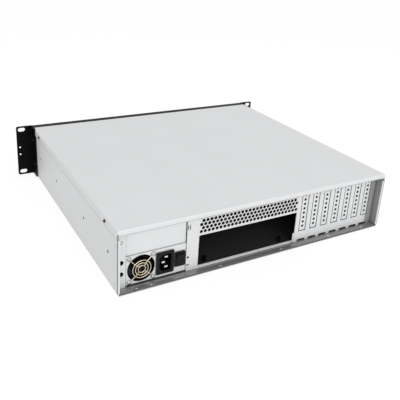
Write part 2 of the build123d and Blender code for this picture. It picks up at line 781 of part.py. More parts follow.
def psu_fan():
    hole = screw_shaft + 2 * thread_play
    frame = fan_frame(psu_fan_size, psu_fan_depth, psu_fan_duct, psu_fan_pitch, hole, psu_fan_hub)
    rotor = fan_rotor(psu_fan_depth, psu_fan_duct, psu_fan_hub)
    y = panel_face - psu_wall - psu_fan_depth / 2
    return facing(frame, fan_x, y, psu_mid_z), facing(rotor, fan_x, y, psu_mid_z)


def psu_fan_guard():
    """Finger guard: rings on two crossed wires, which end in an eye under each screw."""
    wire = guard_wire
    ring_y0 = panel_face + guard_stand
    ring_y1 = ring_y0 + wire
    rings = Sketch()
    for radius in guard_rings:
        rings += Circle(radius + wire / 2) - Circle(radius - wire / 2)
    guard = across(Pos(fan_x, psu_mid_z) * rings, ring_y0, ring_y1)
    reach = psu_fan_pitch / 2 * sqrt(2)
    spoke_end = guard_rings[-1] + wire / 2
    eye_edge = reach - small_screw_head / 2 + wire / 2
    for angle in (45, 135, 225, 315):
        turn = Pos(fan_x, 0, psu_mid_z) * Rot(0, angle, 0)
        spoke = block(0, spoke_end, ring_y0 - wire, ring_y0, -wire / 2, wire / 2)
        leg = block(spoke_end - wire, spoke_end, panel_face, ring_y1, -wire / 2, wire / 2)
        foot = block(spoke_end - wire, eye_edge, panel_face, panel_face + wire, -wire / 2, wire / 2)
        eye = rod_y(reach, 0, panel_face, panel_face + wire, small_screw_head)
        hole = rod_y(reach, 0, panel_face, panel_face + wire, screw_shaft + guard_eye_play)
        guard += turn * (spoke + leg + foot + eye - hole)
    return guard


def psu_fan_screws():
    found = []
    for x, z in fan_screw_places():
        screw = pan_screw(guard_screw_length, small_screw_head, small_screw_head_height)
        found.append(facing(screw, x, panel_face + guard_wire, z))
    return Compound(found)


def psu_inlet():
    """Appliance inlet, upright: bezel, body and a recess with two cut corners."""
    place = Pos(inlet_x, psu_mid_z)
    face = panel_face + inlet_bezel
    back = panel_face - inlet_depth
    bezel = RectangleRounded(inlet_width, inlet_height, inlet_corner)
    inlet = across(place * bezel, panel_face, face)
    inlet += across(place * Rectangle(inlet_body_width, inlet_body_height), back, panel_face)
    outline = Rectangle(inlet_recess_width, inlet_recess_height)
    outline = chamfer(outline.vertices().sort_by(Axis.X)[-2:], inlet_chamfer)
    inlet -= across(place * outline, inlet_floor_y, face + cut_past)
    for x, z in pin_places():
        inlet -= pin_block(x, z, back - cut_past, inlet_floor_y + cut_past)
    return inlet


def pin_places():
    return [(inlet_x - pin_offset, psu_mid_z - pin_spacing / 2),
            (inlet_x - pin_offset, psu_mid_z + pin_spacing / 2),
            (inlet_x + pin_offset, psu_mid_z)]


def pin_block(x, z, y0, y1):
    return block(x - pin_height / 2, x + pin_height / 2, y0, y1, z - pin_width / 2, z + pin_width / 2)


def psu_inlet_pins():
    """Three flat pins, each running through the body to a solder tail."""
    back = panel_face - inlet_depth - pin_tail
    return Compound([pin_block(x, z, back, inlet_floor_y + pin_length) for x, z in pin_places()])


def psu_switch_frame():
    """Bezel and body of the rocker switch, open at the face, with pivot holes."""
    place = Pos(switch_x, psu_mid_z)
    face = panel_face + switch_bezel
    back = panel_face - switch_depth
    bezel = RectangleRounded(switch_width, switch_height, switch_corner)
    frame = across(place * bezel, panel_face, face)
    frame += across(place * Rectangle(switch_body_width, switch_body_height), back, panel_face)
    well_height = 2 * (rocker_radius + running_gap)
    well = Rectangle(rocker_width + running_gap, well_height)
    frame -= across(place * well, back + switch_back, face + cut_past)
    pin_end = rocker_width / 2 + rocker_pin_reach + running_gap / 2
    hole = 2 * (rocker_pin + thread_play)
    return frame - rod_x(pivot_y, psu_mid_z, switch_x - pin_end, switch_x + pin_end, hole)


def psu_rocker():
    """Rocker with a shallow V face, pressed in at its lower end, on two stub pins."""
    r = rocker_radius
    front_half = sqrt(r * r - rocker_face * rocker_face)
    back_half = sqrt(r * r - rocker_back * rocker_back)
    face = Polyline((rocker_face, front_half), (rocker_dip, 0), (rocker_face, -front_half))
    lower_arc = ThreePointArc((rocker_face, -front_half), (0, -r), (-rocker_back, -back_half))
    rear = Line((-rocker_back, -back_half), (-rocker_back, back_half))
    upper_arc = ThreePointArc((-rocker_back, back_half), (0, r), (rocker_face, front_half))
    profile = make_face(Wire([*face.edges(), lower_arc.edge(), rear.edge(), upper_arc.edge()]))
    plane = Plane(origin=(-rocker_width / 2, 0, 0), x_dir=(0, 1, 0), z_dir=(1, 0, 0))
    body = extrude(plane * profile, rocker_width)
    pin_end = rocker_width / 2 + rocker_pin_reach
    rocker = body + rod_x(0, 0, -pin_end, pin_end, 2 * rocker_pin)
    return Pos(switch_x, pivot_y, psu_mid_z) * Rot(-rocker_tilt, 0, 0) * rocker


def psu_top_plate():
    """Plate that stands on the power supply and closes the opening above it."""
    x0 = psu_right - psu_clearance - plate_lap
    x1 = psu_left + psu_clearance + plate_lap
    plate_y, fold_z = panel_back - sheet / 2, psu_opening_top + plate_top_lap - sheet / 2
    points = [(plate_y, psu_top), (plate_y, fold_z), (panel_back - plate_shelf, fold_z)]
    return along_x(folded(points, sheet), x0, x1)


def psu_cradle():
    """Plate under the power supply with a hemmed rail along each side."""
    y1 = panel_back - running_gap
    y0 = y1 - cradle_length
    x0, x1 = psu_right - cradle_margin, psu_left + cradle_margin
    plate = block(x0, x1, y0, y1, floor_top, floor_top + cradle_sheet)
    for left, right in ((x0, x0 + cradle_rail), (x1 - cradle_rail, x1)):
        plate += block(left, right, y0, y1, floor_top + cradle_sheet, psu_bottom)
    tab_y0 = y0 + cradle_tab_start
    tab_y1 = tab_y0 + cradle_tab_length
    for left, right in ((x0, x0 + cradle_sheet), (x1 - cradle_sheet, x1)):
        plate += block(left, right, tab_y0, tab_y1, psu_bottom, psu_bottom + cradle_tab_height)
    return plate


def board_standoffs():
    """Hexagonal pillars at the nine mounting holes of the board."""
    found = []
    y_first = panel_back - board_row_1
    x_first = -wall_inner + board_side
    pillar = extrude(RegularPolygon(standoff_across / 2, 6, major_radius=False), standoff_height)
    pillar -= rod_z(0, 0, standoff_hole_floor, standoff_height + cut_past, standoff_hole)
    for dy in (0, board_row_2, board_row_3):
        for dx in (0, board_column_2, board_column_3):
            found.append(Pos(x_first + dx, y_first - dy, floor_top) * pillar)
    return Compound(found)


def drive_cage():
    """Open channel for two stacked drives, with screw holes in both sides."""
    x1 = wall_inner - cage_wall_gap
    x0 = x1 - drive_width - 2 * sheet
    y0 = front_y + cage_front
    y1 = y0 + cage_length
    left, right, foot_z = x0 + sheet / 2, x1 - sheet / 2, floor_top + sheet / 2
    section = folded([(left, cage_height), (left, foot_z), (right, foot_z), (right, cage_height)], sheet)
    cage = across(section, y0, y1)
    for z in (drive_hole_z, drive_hole_z + drive_hole_rise):
        for i in range(drive_hole_count):
            y = y0 + drive_hole_inset + i * drive_hole_pitch
            cage -= rod_x(y, z, x0 - cut_past, x1 + cut_past, drive_hole)
    return cage


nodes = {
    "base_tray": base_tray(),
    "rear_panel": rear_panel(),
    "top_cover": top_cover(),
    "cover_screws": cover_screws(),
    "front_panel": front_panel(),
    "ear_left": ear(-1),
    "ear_right": ear(1),
    "ear_screws": ear_screws(),
    "slot_screws": slot_screws(),
    "psu_housing": psu_housing(),
    "psu_top_plate": psu_top_plate(),
    "psu_cradle": psu_cradle(),
    "psu_fan_guard": psu_fan_guard(),
    "psu_fan_screws": psu_fan_screws(),
    "psu_inlet": psu_inlet(),
    "psu_inlet_pins": psu_inlet_pins(),
    "psu_switch_frame": psu_switch_frame(),
    "psu_rocker": psu_rocker(),
    "board_standoffs": board_standoffs(),
    "fan_bracket": fan_bracket(),
    "drive_cage": drive_cage(),
    "control_board": control_board(),
    "control_studs": control_studs(),
    "power_button": push_button(power_button_z, power_button_size),
    "reset_button": push_button(reset_button_z, reset_button_size),
    "led_lenses": led_lenses(),
    "usb_sockets": usb_sockets(),
}
for number, place in enumerate(slot_places, 1):
    nodes[f"slot_cover_{number}"] = slot_cover(place)
nodes["psu_fan_frame"], nodes["psu_fan_rotor"] = psu_fan()
nodes["fan_left_frame"], nodes["fan_left_rotor"] = case_fan(fan_left_x)
nodes["fan_right_frame"], nodes["fan_right_rotor"] = case_fan(fan_right_x)

for name, shape in nodes.items():
    export_step(shape, f"parts/{name}.step")
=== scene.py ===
import json
import math
import bpy
from mathutils import Matrix, Vector
from mathutils.bvhtree import BVHTree


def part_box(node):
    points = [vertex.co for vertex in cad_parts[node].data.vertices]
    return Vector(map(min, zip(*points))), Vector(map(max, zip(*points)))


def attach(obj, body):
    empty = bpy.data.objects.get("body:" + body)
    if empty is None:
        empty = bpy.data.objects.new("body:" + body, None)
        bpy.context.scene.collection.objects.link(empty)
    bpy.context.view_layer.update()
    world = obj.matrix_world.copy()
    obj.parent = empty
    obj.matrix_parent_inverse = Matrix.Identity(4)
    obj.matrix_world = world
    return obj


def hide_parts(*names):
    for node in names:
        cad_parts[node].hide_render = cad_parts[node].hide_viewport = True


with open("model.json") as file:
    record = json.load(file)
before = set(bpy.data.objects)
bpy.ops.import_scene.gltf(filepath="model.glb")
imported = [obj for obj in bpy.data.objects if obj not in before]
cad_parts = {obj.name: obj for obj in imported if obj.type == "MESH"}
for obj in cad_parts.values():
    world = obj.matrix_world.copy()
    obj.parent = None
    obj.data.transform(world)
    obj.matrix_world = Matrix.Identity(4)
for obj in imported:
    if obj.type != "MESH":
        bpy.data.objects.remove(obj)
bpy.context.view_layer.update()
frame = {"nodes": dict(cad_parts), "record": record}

scene = bpy.context.scene
scene.view_settings.view_transform = "Standard"
nodes = frame["nodes"]
mm = 0.001


def linearColour(code):
    # sRGB hex to the linear numbers that the sockets take
    shares = [int(code[i:i + 2], 16) / 255 for i in (1, 3, 5)]
    return [s / 12.92 if s <= 0.04045 else ((s + 0.055) / 1.055) ** 2.4 for s in shares] + [1.0]


def emptyTree(owner):
    owner.use_nodes = True
    owner.node_tree.nodes.clear()
    return owner.node_tree


def addNode(tree, kind, inputs=None, **settings):
    # each input is a socket to link or a value to set
    node = tree.nodes.new(kind)
    for key, value in settings.items():
        setattr(node, key, value)
    for key, value in (inputs or {}).items():
        if isinstance(value, bpy.types.NodeSocket):
            tree.links.new(value, node.inputs[key])
        else:
            node.inputs[key].default_value = value
    return node


def calc(tree, operation, *values):
    return addNode(tree, "ShaderNodeMath", dict(enumerate(values)), operation=operation).outputs[0]


def vectorCalc(tree, operation, *values):
    return addNode(tree, "ShaderNodeVectorMath", dict(enumerate(values)), operation=operation).outputs[0]


def scaled(tree, vector, share):
    inputs = {0: vector, "Scale": share}
    return addNode(tree, "ShaderNodeVectorMath", inputs, operation="SCALE").outputs[0]


def mapRange(tree, value, given, wanted):
    inputs = {"Value": value, "From Min": given[0], "From Max": given[1],
              "To Min": wanted[0], "To Max": wanted[1]}
    return addNode(tree, "ShaderNodeMapRange", inputs).outputs[0]


def mixColour(tree, share, first, second):
    inputs = {0: share, 6: first, 7: second}
    return addNode(tree, "ShaderNodeMix", inputs, data_type="RGBA").outputs[2]


def xyz(tree, x=0.0, y=0.0, z=0.0):
    return addNode(tree, "ShaderNodeCombineXYZ", {"X": x, "Y": y, "Z": z}).outputs[0]


# the photograph is taken from above the rear left corner
cameraLook = {
    "place": (0.4191, 0.7162, 0.4057),
    "azimuth": 149.38,   # 0 looks along +Y
    "elevation": 20.10,
    "roll": 3.41,
    "lens": 49.54,
    "sensor": 36,
    "shift": -0.15,      # the lens's axis is above the middle of the picture
    "clipStart": 0.01,
}


def makeCamera():
    data = bpy.data.cameras.new("rearCamera")
    data.sensor_width = cameraLook["sensor"]
    data.lens = cameraLook["lens"]
    data.shift_y = cameraLook["shift"]
    data.clip_start = cameraLook["clipStart"]
    camera = bpy.data.objects.new("rearCamera", data)
    scene.collection.objects.link(camera)
    az, el, roll = (math.radians(cameraLook[key]) for key in ("azimuth", "elevation", "roll"))
    back = Vector((math.sin(az) * math.cos(el), -math.cos(az) * math.cos(el), math.sin(el)))
    right = (-back).cross(Vector((0, 0, 1))).normalized()
    up = right.cross(-back)
    tiltedRight = right * math.cos(roll) + up * math.sin(roll)
    tiltedUp = up * math.cos(roll) - right * math.sin(roll)
    turn = Matrix((tiltedRight, tiltedUp, back)).transposed().to_4x4()
    camera.matrix_world = Matrix.Translation(cameraLook["place"]) @ turn
    scene.camera = camera


studioLook = {
    "worldLevel": 0.74,    # what the diffuse surfaces get from all round
    "floorSize": 12.0,
    "floorShade": 0.12,    # how much of the floor is lit and shaded, the rest is plain white
    "floorGrey": 0.9,
    "floorGlow": 1.03,
    "lamps": {
        # name: place, what it looks at, width, height, watts
        "keyLamp": ((0.45, 2.2, 1.0), (0, 0.15, 0.04), 2.6, 1.6, 29.0),
        "sideLamp": ((2.2, -0.6, 1.0), (0.1, 0, 0.04), 1.0, 1.0, 0.5),
        "topLamp": ((-0.4, -0.2, 2.4), (0, 0, 0.04), 1.8, 1.8, 6.5),
    },
}


def rayShare(tree, *kinds):
    # 1 for a ray of one of these kinds, 0 for any other
    path = addNode(tree, "ShaderNodeLightPath").outputs
    share = path[kinds[0]]
    for kind in kinds[1:]:
        share = calc(tree, "MAXIMUM", share, path[kind])
    return share


def makeWorld():
    world = bpy.data.worlds.new("whiteRoom")
    tree = emptyTree(world)
    seen = rayShare(tree, "Is Camera Ray", "Is Glossy Ray", "Is Transmission Ray")
    level = mapRange(tree, seen, (0.0, 1.0), (studioLook["worldLevel"], 1.0))
    light = addNode(tree, "ShaderNodeBackground", {"Color": (1, 1, 1, 1), "Strength": level})
    addNode(tree, "ShaderNodeOutputWorld", {"Surface": light.outputs[0]})
    scene.world = world


def makeFloor():
    paper = bpy.data.materials.new("whitePaper")
    tree = emptyTree(paper)
    seen = rayShare(tree, "Is Camera Ray", "Is Glossy Ray")
    share = calc(tree, "MULTIPLY", seen, 1 - studioLook["floorShade"])
    grey = studioLook["floorGrey"]
    matt = addNode(tree, "ShaderNodeBsdfDiffuse", {"Color": (grey, grey, grey, 1)})
    glow = {"Color": (1, 1, 1, 1), "Strength": studioLook["floorGlow"]}
    white = addNode(tree, "ShaderNodeEmission", glow)
    both = addNode(tree, "ShaderNodeMixShader", {0: share, 1: matt.outputs[0], 2: white.outputs[0]})
    addNode(tree, "ShaderNodeOutputMaterial", {"Surface": both.outputs[0]})
    half = studioLook["floorSize"] / 2
    corners = [(-half, -half, 0), (half, -half, 0), (half, half, 0), (-half, half, 0)]
    mesh = bpy.data.meshes.new("floor")
    mesh.from_pydata(corners, [], [(0, 1, 2, 3)])
    mesh.materials.append(paper)
    floor = bpy.data.objects.new("floor", mesh)
    scene.collection.objects.link(floor)


def makeLamps():
    for name, (place, target, width, height, watts) in studioLook["lamps"].items():
        data = bpy.data.lights.new(name, "AREA")
        data.shape = "RECTANGLE"
        data.size, data.size_y, data.energy = width, height, watts
        lamp = bpy.data.objects.new(name, data)
        scene.collection.objects.link(lamp)
        lamp.location = place
        lamp.rotation_euler = (Vector(target) - Vector(place)).to_track_quat("-Z", "Y").to_euler()


# boxes in which shade is painted into the sheet steel's colour, in mm:
# low corner, high corner, share of the colour (the painted shade), change of roughness, share of the relief
steelPaintedShade = [
    ((-213.6, -198.8, 1.15), (213.6, 186.75, 86.85), 0.06, 0.1, 1.0),   # painted shade over the whole inside
    ((-205.0, 186.0, 5.2), (-62.0, 187.7, 81.0), 0.06, 0.1, 1.0),       # painted shade in the grooves and holes of the covers
    ((-205.0, 186.0, 2.3), (-62.0, 187.95, 5.2), 0.04, 0.1, 1.0),       # painted shade in the notches at their feet
    ((-60.0, 186.7, 50.5), (99.5, 187.95, 81.0), 0.06, 0.1, 1.0),       # painted shade on the walls of the vent holes
    ((199.9, 186.7, 50.0), (212.6, 187.95, 81.0), 0.06, 0.1, 1.0),      # painted shade in the small holes by the left wall
    ((104.0, 186.7, 5.0), (116.8, 187.95, 81.0), 0.06, 0.1, 1.0),       # painted shade in the small holes beside the aperture
    ((116.8, 186.7, 3.6), (117.9, 188.05, 80.0), 0.2, 0.1, 1.0),        # painted shade on the cut edge beside the supply
    ((116.5, 184.0, 1.15), (199.5, 189.2, 4.3), 0.06, 0.1, 1.0),        # painted shadow in the gap under the power supply
    ((-212.7, 188.05, 1.1), (212.7, 202.0, 2.5), 0.36, -0.34, 0.1),     # painted dark reflection on the ledge, which is also smoother and flatter
    ((-213.0, 187.9, 2.5), (-199.0, 199.2, 81.0), 0.45, 0.0, 0.5),      # painted shade on the recess end, with half the relief
    ((213.9, 199.3, 4.0), (215.3, 200.4, 81.0), 0.3, 0.1, 1.0),         # painted shade of the seam along the left rear corner
    ((-215.3, 199.3, 4.0), (-213.9, 200.4, 81.0), 0.3, 0.1, 1.0),       # painted shade of the seam along the right rear corner
    ((213.4, 199.2, 80.0), (215.3, 200.6, 84.0), 0.3, 0.1, 1.0),        # painted shade in the relief at the cover's corner
    ((-213.9, 199.4, 81.3), (213.4, 200.6, 82.3), 0.66, 0.1, 1.0),      # painted shade line under the cover's rear lip
    ((213.5, -198.0, 74.3), (215.3, 191.9, 76.8), 0.6, 0.1, 1.0),       # painted shade line under its left lip
    ((-215.3, -198.0, 74.3), (-213.5, 191.9, 76.8), 0.6, 0.1, 1.0),     # painted shade line under its right lip
]

# one finish for each slot of the record: light and dark are the ends of the colour,
# cloud is the size of its slow drift in mm, grain is the size of the fine pattern along X, Y and Z in mm,
# relief is its height in mm, and speckled draws it as cells
finishLooks = {
    # electro-galvanised sheet: fine even crystals and rolling lines give a satin, faintly cloudy grey.
    # The real crystals are under 0.1 mm, drawn as coarse as the render can show
    "zinc_steel": {
        "light": "#d9dadb", "dark": "#d5d6d7", "cloud": 70, "grain": (0.9, 7.0, 0.9), "relief": 0.01,
        "metallic": 0.35, "specular": 0.3, "roughness": (0.44, 0.56),
        "paintedSeamShade": (3.0, 0.4),   # painted shade in seams and corners: reach in mm, share of the colour that is left
        # painted shade in the boxes of the table above
        "paintedShadeBoxes": steelPaintedShade,
    },
    # polyester powder coat over steel: black with a fine orange peel, half matt
    "black_steel": {
        "light": "#060607", "dark": "#030304", "cloud": 30, "grain": (1.1, 1.1, 1.1), "relief": 0.03,
        "metallic": 0.0, "specular": 0.08, "roughness": (0.42, 0.58), "speckled": True,
    },
    # bright zinc plate on cold headed screws: hard highlights, slightly blue
    "screw_steel": {
        "light": "#c3c6ca", "dark": "#a9acb0", "cloud": 3, "grain": (0.3, 0.3, 0.3), "relief": 0.01,
        "metallic": 1.0, "roughness": (0.2, 0.36),
    },
    # black zinc plate: dark metal that still shines at its edges
    "black_screw": {
        "light": "#313235", "dark": "#1d1e20", "cloud": 3, "grain": (0.3, 0.3, 0.3), "relief": 0.01,
        "metallic": 0.9, "roughness": (0.3, 0.45),
    },
    # nickel plated drawn wire: warm and bright, finely grained
    "guard_wire": {
        "light": "#e6dcc6", "dark": "#cfc3a8", "cloud": 6, "grain": (0.25, 0.25, 0.25), "relief": 0.006,
        "metallic": 1.0, "roughness": (0.18, 0.3),
    },
    # spark eroded mould texture on flame retardant nylon: black, with a soft speckled sheen
    "black_plastic": {
        "light": "#0e0f11", "dark": "#08090a", "cloud": 14, "grain": (0.45, 0.45, 0.45), "relief": 0.015,
        "metallic": 0.0, "specular": 0.2, "roughness": (0.38, 0.55), "speckled": True,
    },
    # stamped brass blades under nickel: smooth, faintly yellow
    "pin_metal": {
        "light": "#f4f2ec", "dark": "#e2dfd6", "cloud": 5, "grain": (0.2, 2.0, 0.2), "relief": 0.005,
        "metallic": 1.0, "roughness": (0.2, 0.32),
    },
    # green solder resist over copper: glossy, with the copper's areas showing through as lighter patches
    "circuit_board": {
        "light": "#1c6a3e", "dark": "#0d4526", "cloud": 7, "grain": (2.2, 2.2, 2.2), "relief": 0.035,
        "metallic": 0.0, "roughness": (0.24, 0.34), "coat": 0.4, "speckled": True,
    },
    # moulded acrylic light pipe: clear, with a slightly frosted end
    "clear_lens": {
        "light": "#eef2ee", "dark": "#dde5df", "cloud": 4, "grain": (0.4, 0.4, 0.4), "relief": 0.01,
        "metallic": 0.0, "roughness": (0.08, 0.2), "transmission": 0.85, "ior": 1.49,
    },
    # tinned deep drawn shell of a socket: bright, with draw marks along its depth
    "socket_steel": {
        "light": "#c9cbcd", "dark": "#b1b3b6", "cloud": 6, "grain": (0.3, 3.0, 0.3), "relief": 0.008,
        "metallic": 1.0, "roughness": (0.22, 0.34),
    },
}

# how every finish mixes its two patterns, and how deep its relief and its painted seam shade look
patternMix = {
    "cloudDetail": 3.0,
    "grainDetail": 2.0,
    "cloudShare": 0.65,
    "grainShare": 0.35,
    "colourRange": (0.3, 0.7),     # of the mixed pattern, from dark to light
    "roughRange": (0.25, 0.75),    # of the fine pattern, from smooth to rough
    "bump": 0.8,
    "skySamples": 8,
    "skyRange": (0.42, 0.94),      # open sky where the painted seam shade is darkest and where it ends
}


def finePattern(tree, place, look):
    sized = addNode(tree, "ShaderNodeMapping", {
        "Vector": place, "Scale": [1 / (size * mm) for size in look["grain"]]}).outputs[0]
    if look.get("speckled"):
        cells = {"Vector": sized, "Scale": 1.0}
        return addNode(tree, "ShaderNodeTexVoronoi", cells, feature="SMOOTH_F1").outputs["Distance"]
    grain = {"Vector": sized, "Scale": 1.0, "Detail": patternMix["grainDetail"]}
    return addNode(tree, "ShaderNodeTexNoise", grain).outputs[0]


# darkens the colour inside one box of the node's own space as painted shade, and changes its roughness and
# relief there
def paintShadeInBox(tree, place, area, paint, rough, height):
    near, far, shade, rougher, relief = area
    middle = [(a + b) / 2 * mm for a, b in zip(near, far)]
    half = [(b - a) / 2 * mm for a, b in zip(near, far)]
    away = vectorCalc(tree, "SUBTRACT", place, middle)
    away = vectorCalc(tree, "ABSOLUTE", away)
    away = vectorCalc(tree, "SUBTRACT", away, half)
    axes = addNode(tree, "ShaderNodeSeparateXYZ", {0: away}).outputs
    most = calc(tree, "MAXIMUM", axes[0], axes[1])
    most = calc(tree, "MAXIMUM", most, axes[2])
    within = calc(tree, "LESS_THAN", most, 0.0)
    paint = mixColour(tree, within, paint, scaled(tree, paint, shade))
    rough = calc(tree, "MULTIPLY_ADD", within, rougher, rough)
    level = mapRange(tree, within, (0.0, 1.0), (1.0, relief))
    return paint, rough, calc(tree, "MULTIPLY", height, level)


def makeFinish(name, look):
    material = bpy.data.materials.new(name)
    tree = emptyTree(material)
    place = addNode(tree, "ShaderNodeTexCoord").outputs["Object"]
    cloud = addNode(tree, "ShaderNodeTexNoise", {
        "Vector": place, "Scale": 1 / (look["cloud"] * mm), "Detail": patternMix["cloudDetail"]})
    fine = finePattern(tree, place, look)
    drift = calc(tree, "MULTIPLY", cloud.outputs[0], patternMix["cloudShare"])
    mixed = calc(tree, "MULTIPLY_ADD", fine, patternMix["grainShare"], drift)
    share = mapRange(tree, mixed, patternMix["colourRange"], (0.0, 1.0))
    paint = mixColour(tree, share, linearColour(look["dark"]), linearColour(look["light"]))
    rough = mapRange(tree, fine, patternMix["roughRange"], look["roughness"])
    height = fine
    # painted shade in the listed boxes
    for area in look.get("paintedShadeBoxes", []):
        paint, rough, height = paintShadeInBox(tree, place, area, paint, rough, height)
    if "paintedSeamShade" in look:   # painted shade: the colour darkens where sheets meet and in corners
        reach, left = look["paintedSeamShade"]
        sky = addNode(tree, "ShaderNodeAmbientOcclusion", {"Distance": reach * mm},
                      samples=patternMix["skySamples"]).outputs["AO"]
        paint = scaled(tree, paint, mapRange(tree, sky, patternMix["skyRange"], (left, 1.0)))
    bump = addNode(tree, "ShaderNodeBump", {
        "Height": height, "Distance": look["relief"] * mm, "Strength": patternMix["bump"]})
    surface = addNode(tree, "ShaderNodeBsdfPrincipled", {
        "Base Color": paint,
        "Roughness": rough,
        "Normal": bump.outputs[0],
        "Metallic": look["metallic"],
        "Coat Weight": look.get("coat", 0.0),
        "Transmission Weight": look.get("transmission", 0.0),
        "IOR": look.get("ior", 1.5),
        "Specular IOR Level": look.get("specular", 0.5),
    })
    addNode(tree, "ShaderNodeOutputMaterial", {"Surface": surface.outputs[0]})
    return material


def dressNodes():
    for part in frame["record"]["subparts"]:
        mesh = nodes[part["node"]].data
        mesh.materials.clear()
        mesh.materials.append(finishes[part["material_slot"]])


# the pieces below are grown by Geometry Nodes on seed points
def newTree(name, lengths, counts=()):
    # a tree takes the seed points, its named lengths and whole numbers, and a finish
    tree = bpy.data.node_groups.new(name, "GeometryNodeTree")
    sockets = [("Seeds", "NodeSocketGeometry"), ("Finish", "NodeSocketMaterial")]
    sockets += [(label, "NodeSocketFloat") for label in lengths]
    sockets += [(label, "NodeSocketInt") for label in counts]
    for label, kind in sockets:
        tree.interface.new_socket(label, in_out="INPUT", socket_type=kind)
    tree.interface.new_socket("Grown", in_out="OUTPUT", socket_type="NodeSocketGeometry")
    return tree, addNode(tree, "NodeGroupInput").outputs


def named(tree, name, kind):
    return addNode(tree, "GeometryNodeInputNamedAttribute", {"Name": name}, data_type=kind).outputs[0]


def plantShape(tree, given, shape):
    # stands the shape on each seed with its Z along the seed's outward direction
    outward = named(tree, "outward", "FLOAT_VECTOR")
    facing = addNode(tree, "FunctionNodeAlignRotationToVector", {"Vector": outward}, axis="Z")
    planted = addNode(tree, "GeometryNodeInstanceOnPoints", {
        "Points": given["Seeds"], "Instance": shape, "Rotation": facing.outputs[0]})
    turned = addNode(tree, "GeometryNodeRotateInstances", {
        "Instances": planted.outputs[0], "Rotation": xyz(tree, z=named(tree, "turn", "FLOAT"))})
    real = addNode(tree, "GeometryNodeRealizeInstances", {"Geometry": turned.outputs[0]})
    dressed = addNode(tree, "GeometryNodeSetMaterial", {
        "Geometry": real.outputs[0], "Material": given["Finish"]})
    addNode(tree, "NodeGroupOutput", {"Grown": dressed.outputs[0]})
    return tree


def growPiece(name, tree, seeds, sizes, slotName, body="chassis", stands=()):
    # seeds are (place, outward direction, turn about it)
    mesh = bpy.data.meshes.new(name)
    mesh.from_pydata([seed[0] for seed in seeds], [], [])
    mesh.attributes.new("outward", "FLOAT_VECTOR", "POINT")
    mesh.attributes.new("turn", "FLOAT", "POINT")
    for i, seed in enumerate(seeds):
        mesh.attributes["outward"].data[i].vector = seed[1]
        mesh.attributes["turn"].data[i].value = seed[2]
    holder = bpy.data.objects.new(name + "Seeds", mesh)
    scene.collection.objects.link(holder)
    modifier = holder.modifiers.new("grow", "NODES")
    modifier.node_group = tree
    values = {**sizes, "Finish": finishes[slotName]}
    for item in tree.interface.items_tree:
        if item.in_out == "INPUT" and item.name in values:
            modifier[item.identifier] = values[item.name]
    grown = bpy.data.meshes.new_from_object(holder.evaluated_get(bpy.context.evaluated_depsgraph_get()))
    bpy.data.objects.remove(holder)
    return addPiece(name, grown, slotName, body, stands)


def addPiece(name, mesh, slotName, body, stands):
    mesh.name = name
    mesh.materials.clear()
    mesh.materials.append(finishes[slotName])
    mesh.polygons.foreach_set("material_index", [0] * len(mesh.polygons))
    piece = bpy.data.objects.new(name, mesh)
    scene.collection.objects.link(piece)
    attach(piece, body)
    if stands:
        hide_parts(*stands)
    return piece


def moved(tree, shape, offset):
    return addNode(tree, "GeometryNodeTransform", {"Geometry": shape, "Translation": offset}).outputs[0]


def joined(tree, *shapes):
    together = addNode(tree, "GeometryNodeJoinGeometry")
    for shape in shapes:
        tree.links.new(shape, together.inputs[0])
    return together.outputs[0]


def circle(tree, points, radius):
    inputs = {"Resolution": points, "Radius": radius}
    return addNode(tree, "GeometryNodeCurvePrimitiveCircle", inputs).outputs[0]


def tube(tree, path, sides, radius):
    inputs = {"Curve": path, "Profile Curve": circle(tree, sides, radius), "Fill Caps": True}
    return addNode(tree, "GeometryNodeCurveToMesh", inputs).outputs[0]


def pressedBall(tree, look, radius, height):
    # the upper half of a ball stretched to a radius and a height, over a flat underside
    size = {"Segments": look["segments"], "Rings": look["rings"], "Radius": 1.0}
    ball = addNode(tree, "GeometryNodeMeshUVSphere", size).outputs[0]
    place = addNode(tree, "GeometryNodeInputPosition").outputs[0]
    here = addNode(tree, "ShaderNodeSeparateXYZ", {0: place}).outputs
    upper = calc(tree, "MAXIMUM", here["Z"], 0.0)
    upper = calc(tree, "POWER", upper, look["shoulder"])
    wideX = calc(tree, "MULTIPLY", here["X"], radius)
    wideY = calc(tree, "MULTIPLY", here["Y"], radius)
    rise = calc(tree, "MULTIPLY", upper, height)
    inputs = {"Geometry": ball, "Position": xyz(tree, wideX, wideY, rise)}
    return addNode(tree, "GeometryNodeSetPosition", inputs).outputs[0]


weldStep = 0.01 * mm     # points closer than this count as one


def solidBoxes(name):
    # lowest and highest corner of each separate solid of a CAD node
    mesh = nodes[name].data
    spots = {}
    own = []
    for vertex in mesh.vertices:
        key = tuple(round(c / weldStep) for c in vertex.co)
        own.append(spots.setdefault(key, len(spots)))
    parent = list(range(len(spots)))

    def root(i):
        while parent[i] != i:
            parent[i] = parent[parent[i]]
            i = parent[i]
        return i

    for face in mesh.polygons:
        first = root(own[face.vertices[0]])
        for other in face.vertices[1:]:
            parent[root(own[other])] = first
    groups = {}
    for index, vertex in zip(own, mesh.vertices):
        groups.setdefault(root(index), []).append(vertex.co)
    return [(Vector(map(min, *corners)), Vector(map(max, *corners))) for corners in groups.values()]


def outwardAlong(axis, place):
    # towards the nearer side of the case along X, upwards or to the rear along Z and Y
    outward = Vector((0, 0, 0))
    outward[axis] = -1 if axis == 0 and place.x < 0 else 1
    return outward


